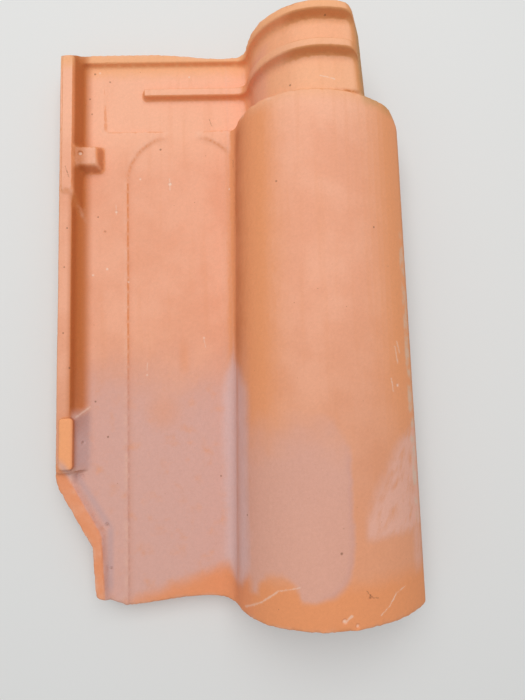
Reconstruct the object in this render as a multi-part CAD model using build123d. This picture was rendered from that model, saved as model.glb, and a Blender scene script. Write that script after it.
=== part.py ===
from build123d import *
import math
import os

# An interlocking clay roof tile with a flat water channel and a barrel, pressed and fired in one piece.
# X runs across the tile from the lock rib to the free edge, Y from the tail up to the head, Z up.
# All sizes are millimetres. The tile is drawn from its lower left corner and centred at the end.

# Overall
tile_length = 440.0
cover_width = 220.0         # from one tile to the next across the roof
body_thickness = 11.0
strip_step = 2.2            # how far the strip beside the lock rib stands above the channel
strip_draft = 0.9           # run of the sloping side of that step
lap_clearance = 1.0         # air between the free edge and the strip of the next tile
edge_round = 1.5            # worn arris of the fired clay

# Plan of the pan
crease_x = 54.5
corner_cut_x = 28.0         # the tail corner under the lock rib is cut off
corner_cut_top_y = 93.0
corner_cut_low_y = 45.0
corner_cut_round = 12.0
strip_tail_x = 31.0
strip_tail_y = 8.5
tail_hollow = 4.0           # the pan's tail edge sits back by this much at the foot of the barrel
tail_hollow_return = 30.0   # and comes back over this width

# Full barrel
barrel_crown_z = 68.0
crown_to_edge_tail = 77.0
crown_to_edge_head = 74.5
barrel_left_radius_tail = 65.0
barrel_left_radius_head = 57.0
barrel_right_radius = 92.0
barrel_edge_radius = 22.0
barrel_foot_radius = 14.0
shoulder_corner_radius = 20.0
shoulder_round = 3.0

# Neck that the tile above covers
neck_length = 65.0
neck_drop = 3.5             # how far its crown lies below the barrel's
neck_crown_inset = 66.0     # from the free edge, as are the next two
neck_side_inset_shoulder = 26.3
neck_side_inset_head = 29.5
neck_side_lean = 22.0       # degrees by which its side leans out
neck_edge_height = 22.8     # its side ends so far above the strip, clear of the next tile's lock rib
neck_left_radius = 52.0
neck_right_radius = 100.0
neck_edge_radius = 13.0
neck_foot_radius = 12.0
head_hollow = 3.0           # the head edge sits back by this much at the foot of the neck
head_hollow_width = 60.0
head_hollow_return = 20.0

# Cross ribs of the head lock
cross_rib_height = 7.0
cross_rib_crown_rise = 8.5  # they stand higher over the crown, where the press pulls straight up
cross_rib_flank_rise = 3.5
cross_rib_draft = 1.2
cross_rib_round = 2.0
arris_steps = 3             # flat bands that make up the round of a cross rib
rim_width = 7.5
bar_width = 7.0
bar_setback = 37.0          # from the head to the tail side of the bar's top
bar_start_x = 67.0

# Head recess and the arched end of the channel
recess_x = 34.5
recess_side_run = 3.6
recess_margin = 15.0
arch_flat = 13.5            # nearly straight stretch between the two rounds of the arch
arch_setback = 5.0
arch_to_crown = 56.0        # the arch ends under the foot of the barrel
spill_gap_width = 20.0
spill_gap_slope_run = 12.0

# Lock rib along the left edge
rib_low_outer_x = 2.2
rib_low_inner_x = 12.8
rib_low_foot_x = 16.0
rib_low_height = 10.0
rib_root_round = 9.0
rib_high_outer_x = 4.8
rib_high_inner_x = 13.4
rib_high_foot_x = 19.5
rib_high_height = 13.0
rib_high_root_round = 4.0
rib_high_draft = 1.0
rib_step_setback = 118.0    # from the head to the top of the sloping step
rib_step_run = 22.5
rib_head_run = 5.7          # the head end of the rib slopes down to the rim
rib_end_y = 100.0

# Flange along the cut corner
flange_height = 5.0
flange_width = 10.0
flange_tail_width = 7.0
flange_draft = 3.2

# Raised stop on the rib, the gusset beside it and the spacer block
stop_y = 103.0
stop_length = 39.0
stop_x = 5.3
stop_width = 11.0
stop_height = 14.0
stop_round = 2.2
stop_corner_round = 3.3
gusset_top_x = 16.0
gusset_height = 8.0
gusset_foot_x = 24.5
gusset_head_rise = 7.5
block_setback = 82.5
block_length = 15.2
block_width = 19.0
block_height = 10.0
block_draft = 3.8

# Underside
nib_height = 8.0
nib_width = 28.0
nib_depth = 14.0
nib_setback = 42.0          # from the head to the face that bears on the batten
nib_x = (30.0, 76.0)
nib_draft_run = 2.0
lip_height = 5.0
lip_width = 9.0
lip_start_x = 58.0
lock_play = 1.25            # between a tail lip and the shoulder or rib of the tile below

# Derived levels and places
channel_z = body_thickness
strip_z = channel_z + strip_step
root_z = body_thickness / 2
rib_low_top_z = strip_z + rib_low_height
rib_high_top_z = strip_z + rib_high_height
flange_top_z = strip_z + flange_height
cross_rib_top_z = channel_z + cross_rib_height
free_edge_z = strip_z + lap_clearance
free_edge_x = crease_x + cover_width
barrel_crown_x_head = free_edge_x - crown_to_edge_head
neck_crown_x = free_edge_x - neck_crown_inset
neck_crown_z = barrel_crown_z - neck_drop
neck_edge_z = strip_z + neck_edge_height
arch_right_x = barrel_crown_x_head - arch_to_crown
arch_centre_x = (crease_x + arch_right_x) / 2
arch_radius = (arch_right_x - crease_x - arch_flat) / 2
barrel_head_y = tile_length - neck_length
shoulder_wall_y = barrel_head_y - body_thickness
arch_top_y = barrel_head_y - arch_setback
recess_top_y = tile_length - recess_margin
lip_y = (0.0, neck_length - rim_width - lip_width - 2 * lock_play)
rib_sink = 0.3              # the flank of a cross rib starts this far inside the clay
reach = 30.0                # cutters run past the clay by this much


class Section:
    """One cross-section of the tile at a station along Y, as tangent arcs between the pan and the free edge."""

    def __init__(self, y, crown, left_radius, right_radius, edge_radius, foot_radius, pan_z, side, lean=0.0):
        crown_x, crown_z = crown
        self.y = y
        self.left_radius = left_radius
        self.right_radius = right_radius
        self.edge_radius = edge_radius
        self.foot_radius = foot_radius
        self.pan_z = pan_z
        self.side = side
        self.lean = math.radians(lean)
        self.left_centre = (crown_x, crown_z - left_radius)
        self.right_centre = (crown_x, crown_z - right_radius)
        rise = pan_z + foot_radius - self.left_centre[1]
        run = math.sqrt((left_radius + foot_radius) ** 2 - rise ** 2)
        self.foot_centre = (crown_x - run, pan_z + foot_radius)
        self.foot_angle = math.atan2(rise, run)
        self.edge_centre = self.find_edge_centre()
        self.edge_angle = math.atan2(
            self.edge_centre[1] - self.right_centre[1], self.edge_centre[0] - self.right_centre[0]
        )

    def find_edge_centre(self):
        """Centre of the arc that turns from the right arc into the straight side, tangent to both."""
        start = Vector(self.side[0], self.side[1]) - self.side_normal() * self.edge_radius
        along = Vector(-math.sin(self.lean), math.cos(self.lean))
        away = start - Vector(*self.right_centre)
        half = along.dot(away)
        span = self.right_radius - self.edge_radius
        centre = start + along * (math.sqrt(half ** 2 - away.dot(away) + span ** 2) - half)
        return (centre.X, centre.Y)

    def side_normal(self):
        """Outward direction of the straight side, as X and Z."""
        return Vector(math.cos(self.lean), math.sin(self.lean))

    def point(self, centre, radius, angle):
        """A point on a circle, its angle measured from the right, upwards."""
        return Vector(centre[0] + radius * math.cos(angle), self.y, centre[1] + radius * math.sin(angle))

    def arc(self, centre, radius, start, end):
        """An arc about a centre from one angle to another."""
        middle = (start + end) / 2
        return ThreePointArc(
            self.point(centre, radius, start),
            self.point(centre, radius, middle),
            self.point(centre, radius, end),
        )

    def path(self, inset, left_x):
        """The surface that lies inset below the top, from left_x on the pan round to the free edge."""
        foot = self.foot_radius + inset
        pan_z = self.pan_z - inset
        left_turn = math.pi - self.foot_angle
        side_x = self.side[0] - inset / math.cos(self.lean)
        turned = self.point(self.edge_centre, self.edge_radius - inset, self.lean)
        return [
            Line((left_x, self.y, pan_z), (self.foot_centre[0], self.y, pan_z)),
            self.arc(self.foot_centre, foot, -math.pi / 2, -self.foot_angle),
            self.arc(self.left_centre, self.left_radius - inset, left_turn, math.pi / 2),
            self.arc(self.right_centre, self.right_radius - inset, math.pi / 2, self.edge_angle),
            self.arc(self.edge_centre, self.edge_radius - inset, self.edge_angle, self.lean),
            Line(turned, (side_x, self.y, self.side[1])),
        ]


def between(start, end, share):
    """The value that lies a share of the way from start to end."""
    return start + share * (end - start)


def barrel_section(y):
    """Section of the full barrel, which is narrower on its left foot towards the head."""
    share = y / barrel_head_y
    crown_x = free_edge_x - between(crown_to_edge_tail, crown_to_edge_head, share)
    left_radius = between(barrel_left_radius_tail, barrel_left_radius_head, share)
    return Section(
        y, (crown_x, barrel_crown_z), left_radius, barrel_right_radius, barrel_edge_radius, barrel_foot_radius,
        channel_z, (free_edge_x, free_edge_z),
    )


def neck_section(y, height=0.0):
    """Section of the reduced neck, or of a cross rib that stands so high on the pan and ends flush with the side."""
    side_share = (y - barrel_head_y) / neck_length
    side_x = free_edge_x - between(neck_side_inset_shoulder, neck_side_inset_head, side_share)
    share = height / cross_rib_height
    crown = (neck_crown_x, neck_crown_z + share * cross_rib_crown_rise)
    left_radius = neck_left_radius + share * cross_rib_flank_rise
    return Section(
        y, crown, left_radius, neck_right_radius, neck_edge_radius, neck_foot_radius - share * cross_rib_flank_rise,
        channel_z + height, (side_x, neck_edge_z), neck_side_lean,
    )


def face_between(upper, lower):
    """The flat face enclosed by two surface paths of one station."""
    start = Line(lower[0] @ 0, upper[0] @ 0)
    end = Line(upper[-1] @ 1, lower[-1] @ 1)
    return make_face(upper + [end] + lower + [start])


def shell(section_a, section_b):
    """Clay of even thickness between two stations, pan included."""
    faces = [face_between(s.path(0.0, 0.0), s.path(body_thickness, 0.0)) for s in (section_a, section_b)]
    return loft(faces, ruled=True)


def face_across(points, x):
    """A flat face square to X with its outline given as Y and Z."""
    return make_face(Polyline([(x, y, z) for y, z in points], close=True))


def face_along(points, y):
    """A flat face square to Y with its outline given as X and Z."""
    return make_face(Polyline([(x, y, z) for x, z in points], close=True))


def face_up(points, z):
    """A level face with its outline given as X and Y."""
    return make_face(Polyline([(x, y, z) for x, y in points], close=True))


def prism_across(points, x_start, x_end):
    """A prism along X with its outline given as Y and Z."""
    return extrude(face_across(points, x_start), amount=x_end - x_start, dir=(1, 0, 0))


def prism_along(points, y_start, y_end):
    """A prism along Y with its outline given as X and Z."""
    return extrude(face_along(points, y_start), amount=y_end - y_start, dir=(0, 1, 0))


def prism_up(points, z_start, z_end):
    """A prism along Z with its outline given as X and Y."""
    return extrude(face_up(points, z_start), amount=z_end - z_start, dir=(0, 0, 1))


def rounded(face, corners, radius):
    """The flat face with the corners nearest the given points rounded."""
    picked = [face.vertices().sort_by_distance(corner)[0] for corner in corners]
    return fillet(picked, radius)


def barrel():
    """The pan and the full barrel, with the rounded shoulder that closes the barrel down to the neck."""
    outer = barrel_section(shoulder_wall_y)
    body = shell(barrel_section(0.0), outer)
    wall = extrude(
        face_between(outer.path(0.0, 0.0), neck_section(shoulder_wall_y).path(body_thickness, 0.0)),
        amount=body_thickness,
        dir=(0, 1, 0),
    )
    front = wall.faces().sort_by(Axis.Y)[-1]
    crest = [
        e for e in front.edges().filter_by(GeomType.CIRCLE)
        if math.isclose(e.radius, outer.left_radius) or math.isclose(e.radius, outer.right_radius)
    ]
    return body + fillet(crest, shoulder_round)


def shoulder_corner():
    """What the rounded plan corner of the shoulder leaves out."""
    centre = (free_edge_x - shoulder_corner_radius, barrel_head_y - shoulder_corner_radius)
    corner = Pos(free_edge_x, barrel_head_y, 0) * Box(
        2 * shoulder_corner_radius, 2 * shoulder_corner_radius, 4 * barrel_crown_z
    )
    drum = Pos(*centre, 0) * Cylinder(shoulder_corner_radius, 4 * barrel_crown_z)
    return corner - drum


def strip():
    """The raised strip beside the lock rib, and the islands round the arched end of the channel."""
    low = prism_up([(0, 0), (crease_x, 0), (crease_x, barrel_head_y), (0, barrel_head_y)], root_z, strip_z)
    arch_y = arch_top_y - arch_radius
    islands = prism_up(
        [(0, arch_y), (arch_right_x, arch_y), (arch_right_x, barrel_head_y), (0, barrel_head_y)], root_z, strip_z
    )
    neck_foot_x = neck_section(tile_length).foot_centre[0] + neck_foot_radius
    head = prism_up(
        [(0, barrel_head_y), (neck_foot_x, barrel_head_y), (neck_foot_x, tile_length), (0, tile_length)],
        root_z,
        strip_z,
    )
    return low + islands + head - channel() - spill_gap() - head_recess()


def channel():
    """The channel with its arched head end and drafted sides, as the space above its floor."""
    outline = face_up(
        [(crease_x, -reach), (arch_right_x, -reach), (arch_right_x, arch_top_y), (crease_x, arch_top_y)], channel_z
    )
    ends = [(crease_x, arch_top_y, channel_z), (arch_right_x, arch_top_y, channel_z)]
    draft_angle = math.degrees(math.atan2(strip_draft, strip_step))
    return extrude(rounded(outline, ends, arch_radius), amount=2 * strip_step, dir=(0, 0, 1), taper=-draft_angle)


def spill_gap():
    """The gap with sloping sides through which the head recess drains into the channel."""
    left = arch_centre_x - spill_gap_width / 2
    right = arch_centre_x + spill_gap_width / 2
    rise = reach / spill_gap_slope_run * strip_step
    return prism_along(
        [(left, channel_z), (right, channel_z), (right + reach, channel_z + rise), (left - reach, channel_z + rise)],
        arch_top_y - arch_radius,
        barrel_head_y,
    )


def head_recess():
    """The shallow pocket of the head, deepest at its tail end, with a sloping left side."""
    pocket = prism_across(
        [(barrel_head_y, channel_z), (recess_top_y, strip_z), (recess_top_y, strip_z + reach),
         (barrel_head_y, strip_z + reach)],
        recess_x - recess_side_run,
        arch_right_x + reach,
    )
    side = Plane(origin=(recess_x, 0, strip_z), x_dir=(0, 1, 0), z_dir=(strip_step, 0, recess_side_run))
    return split(pocket, bisect_by=side, keep=Keep.TOP)


def rib_length(outline, root_round, y_start):
    """A length of the lock rib from y_start to the head, with worn arrises and a hollow root on the strip."""
    face = face_along(outline, y_start)
    arrises = [(x, y_start, z) for x, z in outline[1:3]]
    root_x, root_level = outline[3]
    face = rounded(face, arrises, edge_round)
    face = rounded(face, [(root_x, y_start, root_level)], root_round)
    return extrude(face, amount=tile_length - y_start, dir=(0, 1, 0))


def lock_rib():
    """The rib of the side lock, which steps up towards the head on a slope and slopes down at its head end."""
    low = rib_length(
        [
            (0, 0),
            (rib_low_outer_x, rib_low_top_z),
            (rib_low_inner_x, rib_low_top_z),
            (rib_low_foot_x, strip_z),
            (rib_low_foot_x + 2 * rib_root_round, strip_z),
            (rib_low_foot_x + 2 * rib_root_round, 0),
        ],
        rib_root_round,
        rib_end_y,
    )
    step_top_y = tile_length - rib_step_setback
    step_foot_y = step_top_y - rib_step_run
    high = rib_length(
        [
            (rib_high_outer_x - rib_high_draft, strip_z),
            (rib_high_outer_x, rib_high_top_z),
            (rib_high_inner_x, rib_high_top_z),
            (rib_high_foot_x, strip_z),
            (rib_high_foot_x + 2 * rib_high_root_round, strip_z),
            (rib_high_foot_x + 2 * rib_high_root_round, root_z),
            (rib_high_outer_x - rib_high_draft, root_z),
        ],
        rib_high_root_round,
        step_foot_y,
    )
    step = prism_across(
        [
            (step_foot_y, strip_z),
            (step_top_y, rib_high_top_z),
            (step_top_y, rib_high_top_z + reach),
            (step_foot_y - reach, rib_high_top_z + reach),
            (step_foot_y - reach, strip_z),
        ],
        -reach,
        rib_high_foot_x + reach,
    )
    head_end = prism_across(
        [
            (tile_length - rib_head_run, rib_high_top_z),
            (tile_length, cross_rib_top_z),
            (tile_length + reach, cross_rib_top_z),
            (tile_length + reach, rib_high_top_z + reach),
            (tile_length - rib_head_run, rib_high_top_z + reach),
        ],
        -reach,
        rib_high_foot_x + reach,
    )
    return low + (high - step) - head_end


def stop():
    """The raised stop with a rounded tail end, on the low part of the rib."""
    outline = RectangleRounded(stop_width, stop_length, stop_corner_round)
    centre = Pos(stop_x + stop_width / 2, stop_y + stop_length / 2, root_z)
    block = extrude(centre * outline, amount=strip_z + stop_height - root_z)
    return fillet(block.faces().sort_by(Axis.Z)[-1].edges(), stop_round)


def gusset():
    """The sloping gusset that carries the stop on the strip, with its head end falling away to the root."""
    top_z = strip_z + gusset_height
    head_y = stop_y + stop_length
    body = prism_along(
        [(stop_x, root_z), (stop_x, top_z), (gusset_top_x, top_z), (gusset_foot_x, strip_z), (gusset_foot_x, root_z)],
        stop_y - edge_round,
        head_y + 2 * gusset_head_rise,
    )
    ridge = Vector(gusset_foot_x - gusset_top_x, gusset_head_rise, -gusset_height)
    fall = Vector(-gusset_head_rise / 2, gusset_head_rise, -gusset_height / 2)
    end = Plane(origin=(gusset_top_x, head_y, top_z), x_dir=ridge, z_dir=ridge.cross(fall))
    return split(body, bisect_by=end, keep=Keep.BOTTOM)


def spacer_block():
    """The drafted block between the rib and the strip that sets the next tile's side lap."""
    centre_y = tile_length - block_setback - block_length / 2
    top = Pos(rib_low_inner_x + block_width / 2, centre_y, strip_z + block_height) * Rectangle(
        block_width, block_length
    )
    foot_width = block_width + block_draft
    foot = Pos(rib_low_inner_x + foot_width / 2, centre_y, strip_z) * Rectangle(
        foot_width, block_length + 2 * block_draft
    )
    return loft([foot, top], ruled=True)


def moved_corner(before, corner, after, first, second):
    """Where the two sides of a plan corner meet after each is moved towards the barrel by its own distance."""
    first_side = (Vector(*corner) - Vector(*before)).normalized()
    second_side = (Vector(*after) - Vector(*corner)).normalized()
    first_normal = Vector(-first_side.Y, first_side.X)
    second_normal = Vector(-second_side.Y, second_side.X)
    lean = first_normal.dot(second_normal)
    along_first = (first - lean * second) / (1 - lean ** 2)
    along_second = (second - lean * first) / (1 - lean ** 2)
    moved = Vector(*corner) + first_normal * along_first + second_normal * along_second
    return (moved.X, moved.Y)


def flange_face(spread, z):
    """Level face of the flange along the cut corner, spread so far past its top on the inner side."""
    side = (0, tile_length)
    top = (0, corner_cut_top_y)
    bend = (corner_cut_x, corner_cut_low_y)
    tail = (strip_tail_x, 0)
    below = (strip_tail_x + reach, 0)
    wide = flange_width + spread
    narrow = flange_tail_width + spread
    inner = [
        moved_corner(side, top, bend, rib_low_inner_x + spread, wide),
        moved_corner(top, bend, tail, wide, narrow),
        (strip_tail_x + narrow, 0),
    ]
    start = (rib_low_inner_x + spread, rib_end_y + edge_round)
    return face_up([(0, rib_end_y + edge_round), top, bend, tail] + inner[::-1] + [start], z)


def flange():
    """The low flange that follows the cut corner down to the tail, with a drafted inner side."""
    body = extrude(flange_face(flange_draft, root_z), amount=strip_z - root_z, dir=(0, 0, 1))
    return body + loft([flange_face(flange_draft, strip_z), flange_face(0.0, flange_top_z)], ruled=True)


def rounded_shoulder(y, height, flank_run):
    """Stations and heights over the worn arris between a rib's sloping flank and its level top."""
    lean = math.atan2(height, abs(flank_run))
    toward = math.copysign(1.0, flank_run)
    setback = cross_rib_round * math.tan(lean / 2)
    stations = []
    for step in range(arris_steps + 1):
        angle = lean * (1 - step / arris_steps)
        along = setback - cross_rib_round * math.sin(angle)
        drop = cross_rib_round * (1 - math.cos(angle))
        stations.append((y + toward * along, height - drop))
    return stations


def cross_rib(y, width, left_x, reaches_head):
    """A rib of the head lock across the pan and up over the neck, flush with the neck's side."""
    stations = [(y - cross_rib_draft, -rib_sink)] + rounded_shoulder(y, cross_rib_height, cross_rib_draft)
    if reaches_head:
        stations.append((y + width, cross_rib_height))
    else:
        stations += rounded_shoulder(y + width, cross_rib_height, -cross_rib_draft)[::-1]
        stations.append((y + width + cross_rib_draft, -rib_sink))
    bands = [
        face_between(neck_section(at, height).path(0.0, left_x), neck_section(at).path(root_z, left_x))
        for at, height in stations
    ]
    left_end = prism_along(
        [
            (left_x, channel_z),
            (left_x + cross_rib_draft, cross_rib_top_z),
            (left_x + cross_rib_draft, cross_rib_top_z + reach),
            (left_x - reach, cross_rib_top_z + reach),
            (left_x - reach, channel_z),
        ],
        y - reach,
        y + reach,
    )
    return loft(bands, ruled=True) - left_end


def tail_lip(y):
    """A rib under the tail that drops behind a cross rib of the tile below."""
    section = barrel_section(y)
    band = face_between(section.path(root_z, lip_start_x), section.path(body_thickness + lip_height, lip_start_x))
    return extrude(band, amount=lip_width, dir=(0, 1, 0))


def nib(left_x):
    """A hanging nib under the head, square on the side that bears on the batten."""
    face_y = tile_length - nib_setback
    return prism_across(
        [
            (face_y, root_z),
            (face_y, -nib_height),
            (face_y + nib_depth - nib_draft_run, -nib_height),
            (face_y + nib_depth, 0),
            (face_y + nib_depth, root_z),
        ],
        left_x,
        left_x + nib_width,
    )


def tail_trim():
    """What the cut corner, the slanted end of the strip and the hollow tail edge leave out."""
    outline = face_up(
        [
            (-reach, rib_end_y + reach),
            (0, rib_end_y + reach),
            (0, corner_cut_top_y),
            (corner_cut_x, corner_cut_low_y),
            (strip_tail_x, strip_tail_y),
            (crease_x, 0),
            (crease_x, -reach),
            (-reach, -reach),
        ],
        -reach,
    )
    bends = [(0, corner_cut_top_y, -reach), (corner_cut_x, corner_cut_low_y, -reach)]
    corner = extrude(rounded(outline, bends, corner_cut_round), amount=5 * reach, dir=(0, 0, 1))
    foot_x = barrel_section(0.0).foot_centre[0]
    return corner + edge_hollow(0.0, tail_hollow, crease_x, foot_x, foot_x + tail_hollow_return)


def edge_hollow(y, depth, start_x, deepest_x, end_x):
    """What a shallow hollow in the tail edge, or in the head edge with a negative depth, leaves out."""
    low = -reach
    outside = y - math.copysign(reach, depth)
    bow = Spline(
        (start_x, y, low), (deepest_x, y + depth, low), (end_x, y, low),
        tangents=[(deepest_x - start_x, depth, 0), (1, 0, 0)],
    )
    sides = Polyline(bow @ 1, (end_x, outside, low), (start_x, outside, low), bow @ 0)
    return extrude(make_face([bow, sides]), amount=4 * reach, dir=(0, 0, 1))


def roof_tile():
    """The whole tile as one solid, drawn from its lower left corner."""
    tile = barrel() + shell(neck_section(barrel_head_y), neck_section(tile_length))
    tile += strip()
    tile += lock_rib()
    tile += flange()
    tile += gusset()
    tile += stop()
    tile += spacer_block()
    tile += cross_rib(tile_length - bar_setback, bar_width, bar_start_x, False)
    tile += cross_rib(tile_length - rim_width, rim_width, rib_low_foot_x, True)
    for y in lip_y:
        tile += tail_lip(y)
    for left_x in nib_x:
        tile += nib(left_x)
    tile -= shoulder_corner()
    tile -= tail_trim()
    foot_x = neck_section(tile_length).foot_centre[0]
    tile -= edge_hollow(tile_length, -head_hollow, foot_x - head_hollow_width, foot_x, foot_x + head_hollow_return)
    return tile


def main():
    """Centre the tile over its own base and write it."""
    tile = roof_tile()
    box = tile.bounding_box()
    tile = Pos(-(box.min.X + box.max.X) / 2, -(box.min.Y + box.max.Y) / 2, -box.min.Z) * tile
    os.makedirs("parts", exist_ok=True)
    export_step(tile, "parts/roof_tile.step")
    box = tile.bounding_box()
    print("size", box.size, "volume", tile.volume, "solids", len(tile.solids()), "valid", tile.is_valid)


main()
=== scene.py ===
import bmesh
import bpy
import math
import numpy as np
from mathutils import Euler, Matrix, Vector, kdtree, noise
from mathutils.bvhtree import BVHTree

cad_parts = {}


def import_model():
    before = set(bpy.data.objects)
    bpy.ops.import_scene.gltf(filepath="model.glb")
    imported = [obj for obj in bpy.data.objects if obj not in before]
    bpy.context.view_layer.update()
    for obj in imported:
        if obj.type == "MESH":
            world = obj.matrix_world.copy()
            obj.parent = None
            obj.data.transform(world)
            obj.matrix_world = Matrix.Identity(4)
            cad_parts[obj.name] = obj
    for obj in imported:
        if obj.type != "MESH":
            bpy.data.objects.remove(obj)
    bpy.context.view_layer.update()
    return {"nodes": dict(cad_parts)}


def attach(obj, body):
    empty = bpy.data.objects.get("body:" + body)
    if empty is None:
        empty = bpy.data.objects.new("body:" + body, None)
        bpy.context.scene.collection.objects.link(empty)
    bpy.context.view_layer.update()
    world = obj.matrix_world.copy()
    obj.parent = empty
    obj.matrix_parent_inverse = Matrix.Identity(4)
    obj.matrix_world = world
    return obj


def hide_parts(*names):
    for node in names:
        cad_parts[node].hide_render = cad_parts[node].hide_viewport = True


# A fired clay roof tile on a pale floor, seen from above.
# Lengths are metres in the frame of the CAD part, and millimetres in the clay's marks and tones.

# Camera, at the photograph's viewing place
CAMERA_PLACE = (0.01241, -0.06986, 0.39934)
CAMERA_TURN = (0.106, -0.024, -0.032)
CAMERA_LENS = 24.67

# Light
SKY_COLOUR = (0.93, 0.97, 1.0)
SKY_LEVEL = 0.42
LAMP_PLACE = (-0.05, 0.45, 1.4)
LAMP_SIZE = 1.5
LAMP_POWER = 15.5
FLOOR_COLOUR = (0.80, 0.79, 0.77)
FLOOR_TRACE = 1.02           # how much lighter its lighter patches are
FLOOR_PATCH = 0.4
FLOOR_SIZE = 6.0

# Mesh of the tile: how near points are joined, the grid of planes that it is cut at, and the longest
# sides on the seen side, underneath and at chips
WELD_REACH = 0.000003
JOIN_REACH = 0.00025
JOIN_ROUNDS = 4
FLAT_ANGLE = math.radians(0.1)
CELL = 0.012
CELL_REACH = 0.0004
FACE_SIDE = 0.0036
UNDER_SIDE = 0.0060
MARK_SIDE = 0.0007
MARK_REACH = 1.5            # a chip's fine triangles reach this many radii
LIMIT_STEP = 1.5            # the sides' limit is divided by this each round
UNDER_TURN = -0.05          # a face whose normal points down by more than this is underneath
TURN_ROUNDS = 3
TURN_LEVEL = 0.99
TURN_GAIN = -0.05           # a shared side is turned where its two cotangents add up to less
NARROW = 0.00003
TINY = 1e-14
SHARP_ANGLE = math.radians(32)
ARRIS_SMOOTHING = 2
ARRIS_SHARE = 0.55
BESIDE_ARRIS = 0.8
# The two numbers below spread both the wear on arrises and the painted shade in inner corners
WEAR_AND_SHADE_SPREAD = 4
WEAR_AND_SHADE_SHARE = 0.6

# Relief pressed and fired into the clay: size of the waves and their depth
WAVE_SIZE = 0.055
WAVE_DEPTH = 0.00040
RIPPLE_SIZE = 0.011
RIPPLE_DEPTH = 0.00012
GRAIN_SIZE = 0.0026
GRAIN_DEPTH = 0.00007
RIPPLE_SHIFT = (7, 3, 5)
GRAIN_SHIFT = (2, 9, 4)

# Chips: reach and roughness of their rims, in radii, and how steeply they fall off
CHIP_REACH = 1.3
CHIP_ROUGHNESS = 0.35
CHIP_NOISE_MM = 0.8
CHIP_STEEPNESS = 2.2

# Soft rims of spots and lines in the clay's colour, in millimetres or as a share of their size
SPOT_RIM = 0.4
SPOT_CORE = 0.5
LINE_FRAY = 2.4
LINE_RIM = 1.35
LINE_CORE = 0.4
LINE_CORE_RIM = 0.9

# Photograph in whose pixels the marks below are given
PHOTO_COLUMNS = 525
PHOTO_ROWS = 700
SENSOR_SIZE = 36.0          # length of the picture's longer side on the camera's sensor, in millimetres
PLACE_DIGITS = 1            # a mark's place is rounded to a tenth of a millimetre

# Chips knocked out of the clay, as pixel column and row, and radius and depth in millimetres
CHIPS = [
    (80, 153, 2.2, 0.9),
    (170, 184, 1.6, 0.4),
    (116, 212, 1.4, 0.4),
    (140, 179, 1.2, 0.3),
    (398, 385, 1.4, 0.3),
    (345, 622, 2.0, 0.6),
    (358, 626.5, 1.6, 0.6),
    (107, 525, 1.8, 0.7),
    (111, 568.5, 1.3, 0.5),
    (371, 598, 1.5, 0.4),
    (83.5, 442.5, 1.4, 0.5),
    (105, 231.5, 1.2, 0.4),
    (81.5, 476.5, 1.8, 0.6),
]

# Small dark specks of sand and soot, as pixel column and row, and radius in millimetres
DARK_SPECKS = [
    (95, 74, 1.0),
    (90, 99, 0.8),
    (92, 114, 0.7),
    (110, 82, 0.8),
    (160.5, 149.5, 1.0),
    (67, 228, 0.8),
    (98, 217, 0.7),
    (105, 231.5, 0.9),
    (64, 267, 0.7),
    (63, 333, 0.7),
    (69.5, 368, 0.8),
    (95.5, 401.5, 0.8),
    (108, 437, 0.9),
    (83.5, 442.5, 0.9),
    (107, 525, 1.4),
    (111, 568.5, 1.0),
    (342, 554, 1.0),
    (371, 598, 1.2),
    (221, 476, 0.8),
    (276, 181, 0.9),
    (374, 227, 0.8),
    (290, 85, 0.9),
    (325, 15, 0.8),
    (247, 515, 0.8),
]

# Pale marks where the skin is knocked or rubbed, as pixel column and row, and radius in millimetres
PALE_MARKS = [
    (80, 153, 2.0),
    (170, 184, 1.8),
    (116, 212, 1.4),
    (140, 179, 1.3),
    (128.5, 282, 1.1),
    (147, 375, 0.9),
    (204, 338, 0.9),
    (398, 385, 1.4),
    (189, 77, 0.9),
    (100, 73, 1.0),
    (229, 189, 0.9),
    (345, 622, 1.8),
    (358, 626.5, 1.4),
    (107, 269, 1.1),
    (93, 275, 1.1),
    (372, 628, 0.7),
]

# Pale scratches, as pixel column and row of both ends, half width in millimetres and strength
SCRATCHES = [
    (300, 588, 278.5, 591.5, 0.6, 0.45),
    (278.5, 591.5, 260, 603, 0.7, 0.55),
    (260, 603, 245.5, 606.5, 0.9, 0.45),
    (381.5, 615.5, 390.5, 605.5, 0.5, 0.6),
    (390.5, 605.5, 396.5, 593.5, 0.6, 0.7),
    (396.5, 593.5, 406, 585.5, 0.5, 0.5),
    (345.5, 623, 352, 616.5, 1.2, 0.6),
    (320, 75, 335, 79, 0.5, 0.6),
    (391.5, 378.5, 393.5, 391, 0.7, 0.6),
    (395, 346.5, 398, 363, 0.9, 0.5),
    (397, 341.5, 399.5, 352.5, 0.9, 0.4),
    (169.5, 178.5, 170, 190, 0.5, 0.5),
    (116, 205, 116, 214.5, 0.5, 0.5),
    (76, 417, 90, 407, 0.9, 0.4),
    (147.5, 362.5, 147, 370, 0.6, 0.5),
    (203.5, 337, 205.5, 347, 0.5, 0.4),
]

# Dark hairs and fibres, as pixel column and row of both ends, half width in millimetres and strength
HAIRS = [
    (367, 591.5, 373, 598, 0.4, 0.7),
    (373, 598, 378.5, 598, 0.3, 0.6),
    (65, 166, 69, 177, 0.35, 0.6),
    (209, 119, 212, 126, 0.35, 0.5),
    (233, 160, 233, 167, 0.35, 0.5),
]
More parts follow.
